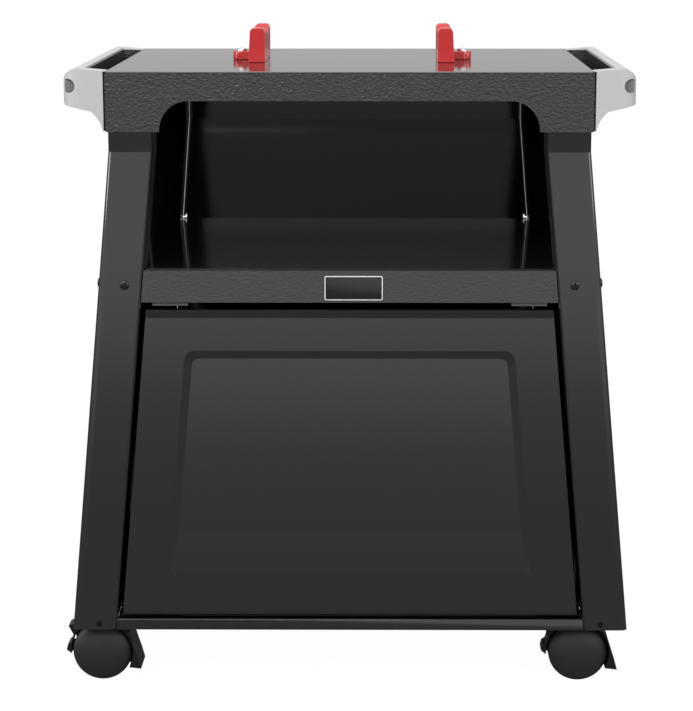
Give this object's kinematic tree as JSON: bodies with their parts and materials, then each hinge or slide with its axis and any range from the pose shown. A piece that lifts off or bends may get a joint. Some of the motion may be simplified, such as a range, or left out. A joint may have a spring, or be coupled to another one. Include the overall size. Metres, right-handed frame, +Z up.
{
  "type": "grill stand",
  "caption": "Splayed sheet-steel griddle stand with a drop-front cabinet, open shelf bay, side handles, turning locks on its top and hooded twin-wheel casters.",
  "frame": {"origin": "on the floor under the middle of the stand", "axes": "+Z up, the door faces -Y, +X to the right as seen from the front"},
  "size_m": [0.7248, 0.5784, 0.815],
  "materials": {
    "gloss_black": "gloss",
    "textured_black": "hammered",
    "light_grey_plastic": "satin",
    "mid_grey_plastic": "satin",
    "screw_steel": "polished",
    "red_plastic": "gloss",
    "caster_plastic": "satin",
    "wheel_plastic": "semi gloss"
  },
  "bodies": {
    "frame": {"top_plate": "gloss_black", "front_apron": "textured_black", "rear_apron": "textured_black", "side_skirt_left": "textured_black", "side_skirt_right": "textured_black", "leg_front_left": "gloss_black", "leg_front_right": "gloss_black", "leg_rear_left": "gloss_black", "leg_rear_right": "gloss_black", "shelf_pan": "gloss_black", "shelf_front_rail": "textured_black", "base_pan": "gloss_black", "base_front_rail": "gloss_black", "base_rear_rail": "gloss_black", "base_side_rail_left": "gloss_black", "base_side_rail_right": "gloss_black", "back_panel": "gloss_black", "side_panel_left": "gloss_black", "side_panel_right": "gloss_black", "handle_left": "light_grey_plastic", "handle_right": "light_grey_plastic", "handle_liner_left": "textured_black", "handle_liner_right": "textured_black", "magnet_catches": "mid_grey_plastic", "hinge_pins": "gloss_black", "lock_posts": "screw_steel"},
    "door": {"door": "gloss_black"},
    "lock_left": {"griddle_lock_left": "red_plastic"},
    "lock_right": {"griddle_lock_right": "red_plastic"},
    "caster_front_left": {"caster_hood_front_left": "caster_plastic"},
    "pedal_front_left": {"brake_pedal_front_left": "caster_plastic"},
    "wheel_outer_front_left": {"caster_wheel_outer_front_left": "wheel_plastic"},
    "wheel_inner_front_left": {"caster_wheel_inner_front_left": "wheel_plastic"},
    "caster_front_right": {"caster_hood_front_right": "caster_plastic"},
    "pedal_front_right": {"brake_pedal_front_right": "caster_plastic"},
    "wheel_outer_front_right": {"caster_wheel_outer_front_right": "wheel_plastic"},
    "wheel_inner_front_right": {"caster_wheel_inner_front_right": "wheel_plastic"},
    "caster_rear_left": {"caster_hood_rear_left": "caster_plastic"},
    "pedal_rear_left": {"brake_pedal_rear_left": "caster_plastic"},
    "wheel_outer_rear_left": {"caster_wheel_outer_rear_left": "wheel_plastic"},
    "wheel_inner_rear_left": {"caster_wheel_inner_rear_left": "wheel_plastic"},
    "caster_rear_right": {"caster_hood_rear_right": "caster_plastic"},
    "pedal_rear_right": {"brake_pedal_rear_right": "caster_plastic"},
    "wheel_outer_rear_right": {"caster_wheel_outer_rear_right": "wheel_plastic"},
    "wheel_inner_rear_right": {"caster_wheel_inner_rear_right": "wheel_plastic"}
  },
  "joints": [
    {"name": "door_hinge", "type": "hinge", "parent": "frame", "child": "door", "pos_m": [0, -0.27465, 0.1045], "axis": [1, 0, 0], "range_deg": [0, 94]},
    {"name": "lock_left_turn", "type": "hinge", "parent": "frame", "child": "lock_left", "pos_m": [-0.146, 0, 0.776], "axis": [0, 0, 1], "range_deg": [0, 180]},
    {"name": "lock_right_turn", "type": "hinge", "parent": "frame", "child": "lock_right", "pos_m": [0.146, 0, 0.776], "axis": [0, 0, -1], "range_deg": [0, 180]},
    {"name": "swivel_front_left", "type": "hinge", "parent": "frame", "child": "caster_front_left", "pos_m": [-0.30278, -0.24278, 0.084], "axis": [0, 0, 1], "continuous": true},
    {"name": "wheel_outer_front_left", "type": "hinge", "parent": "caster_front_left", "child": "wheel_outer_front_left", "pos_m": [-0.31578, -0.24278, 0.0375], "axis": [0, 1, 0], "continuous": true},
    {"name": "wheel_inner_front_left", "type": "hinge", "parent": "caster_front_left", "child": "wheel_inner_front_left", "pos_m": [-0.31578, -0.24278, 0.0375], "axis": [0, 1, 0], "continuous": true},
    {"name": "brake_front_left", "type": "hinge", "parent": "caster_front_left", "child": "pedal_front_left", "pos_m": [-0.33778, -0.24278, 0.05148], "axis": [0, 1, 0], "range_deg": [-3, 3]},
    {"name": "swivel_front_right", "type": "hinge", "parent": "frame", "child": "caster_front_right", "pos_m": [0.30278, -0.24278, 0.084], "axis": [0, 0, 1], "continuous": true},
    {"name": "wheel_outer_front_right", "type": "hinge", "parent": "caster_front_right", "child": "wheel_outer_front_right", "pos_m": [0.28978, -0.24278, 0.0375], "axis": [0, 1, 0], "continuous": true},
    {"name": "wheel_inner_front_right", "type": "hinge", "parent": "caster_front_right", "child": "wheel_inner_front_right", "pos_m": [0.28978, -0.24278, 0.0375], "axis": [0, 1, 0], "continuous": true},
    {"name": "brake_front_right", "type": "hinge", "parent": "caster_front_right", "child": "pedal_front_right", "pos_m": [0.26778, -0.24278, 0.05148], "axis": [0, 1, 0], "range_deg": [-3, 3]},
    {"name": "swivel_rear_left", "type": "hinge", "parent": "frame", "child": "caster_rear_left", "pos_m": [-0.30278, 0.24278, 0.084], "axis": [0, 0, 1], "continuous": true},
    {"name": "wheel_outer_rear_left", "type": "hinge", "parent": "caster_rear_left", "child": "wheel_outer_rear_left", "pos_m": [-0.28978, 0.24278, 0.0375], "axis": [0, 1, 0], "continuous": true},
    {"name": "wheel_inner_rear_left", "type": "hinge", "parent": "caster_rear_left", "child": "wheel_inner_rear_left", "pos_m": [-0.28978, 0.24278, 0.0375], "axis": [0, 1, 0], "continuous": true},
    {"name": "brake_rear_left", "type": "hinge", "parent": "caster_rear_left", "child": "pedal_rear_left", "pos_m": [-0.26778, 0.24278, 0.05148], "axis": [0, -1, 0], "range_deg": [-3, 3]},
    {"name": "swivel_rear_right", "type": "hinge", "parent": "frame", "child": "caster_rear_right", "pos_m": [0.30278, 0.24278, 0.084], "axis": [0, 0, 1], "continuous": true},
    {"name": "wheel_outer_rear_right", "type": "hinge", "parent": "caster_rear_right", "child": "wheel_outer_rear_right", "pos_m": [0.31578, 0.24278, 0.0375], "axis": [0, 1, 0], "continuous": true},
    {"name": "wheel_inner_rear_right", "type": "hinge", "parent": "caster_rear_right", "child": "wheel_inner_rear_right", "pos_m": [0.31578, 0.24278, 0.0375], "axis": [0, 1, 0], "continuous": true},
    {"name": "brake_rear_right", "type": "hinge", "parent": "caster_rear_right", "child": "pedal_rear_right", "pos_m": [0.33778, 0.24278, 0.05148], "axis": [0, -1, 0], "range_deg": [-3, 3]}
  ]
}
